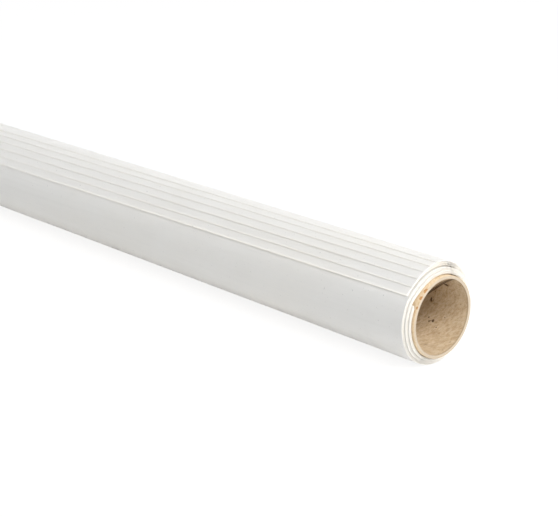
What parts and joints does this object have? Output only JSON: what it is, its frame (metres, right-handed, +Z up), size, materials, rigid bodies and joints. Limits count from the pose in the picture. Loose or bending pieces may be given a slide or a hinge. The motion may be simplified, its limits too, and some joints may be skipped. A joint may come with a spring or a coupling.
{
  "type": "roll of tree guard sheets",
  "caption": "White plastic tree guard sheets rolled up together on a cardboard core, their outer edges stepped; each is peeled off and wraps round a young trunk.",
  "frame": {"origin": "middle of the core's bore, on its axis, half way along the roll", "axes": "+X along the core's axis, +Z up with the roll lying down; the sheets' stepped outer edges face up and towards -Y"},
  "size_m": [0.615, 0.0677, 0.0688],
  "materials": {
    "liner_board": "grey-brown paperboard, matt",
    "core_board": "tan paperboard, matt, cut ends fibrous",
    "core_wrap": "smooth kraft paper, matt",
    "guard_plastic": "smooth white plastic sheet, satin"
  },
  "bodies": {
    "core": {"core_inner_liner": "liner_board", "core_ply_1": "core_board", "core_ply_2": "core_board", "core_ply_3": "core_board", "core_outer_wrap": "core_wrap"},
    "wound_sheets": {"guard_sheet_1": "guard_plastic", "guard_sheet_2": "guard_plastic", "guard_sheet_3": "guard_plastic", "guard_sheet_4": "guard_plastic", "guard_sheet_5": "guard_plastic", "guard_sheet_6": "guard_plastic"}
  },
  "joints": [
    {"name": "sheets_slide", "type": "slide", "parent": "core", "child": "wound_sheets", "axis": [1, 0, 0], "range_m": [-0.56, 0.56]}
  ]
}
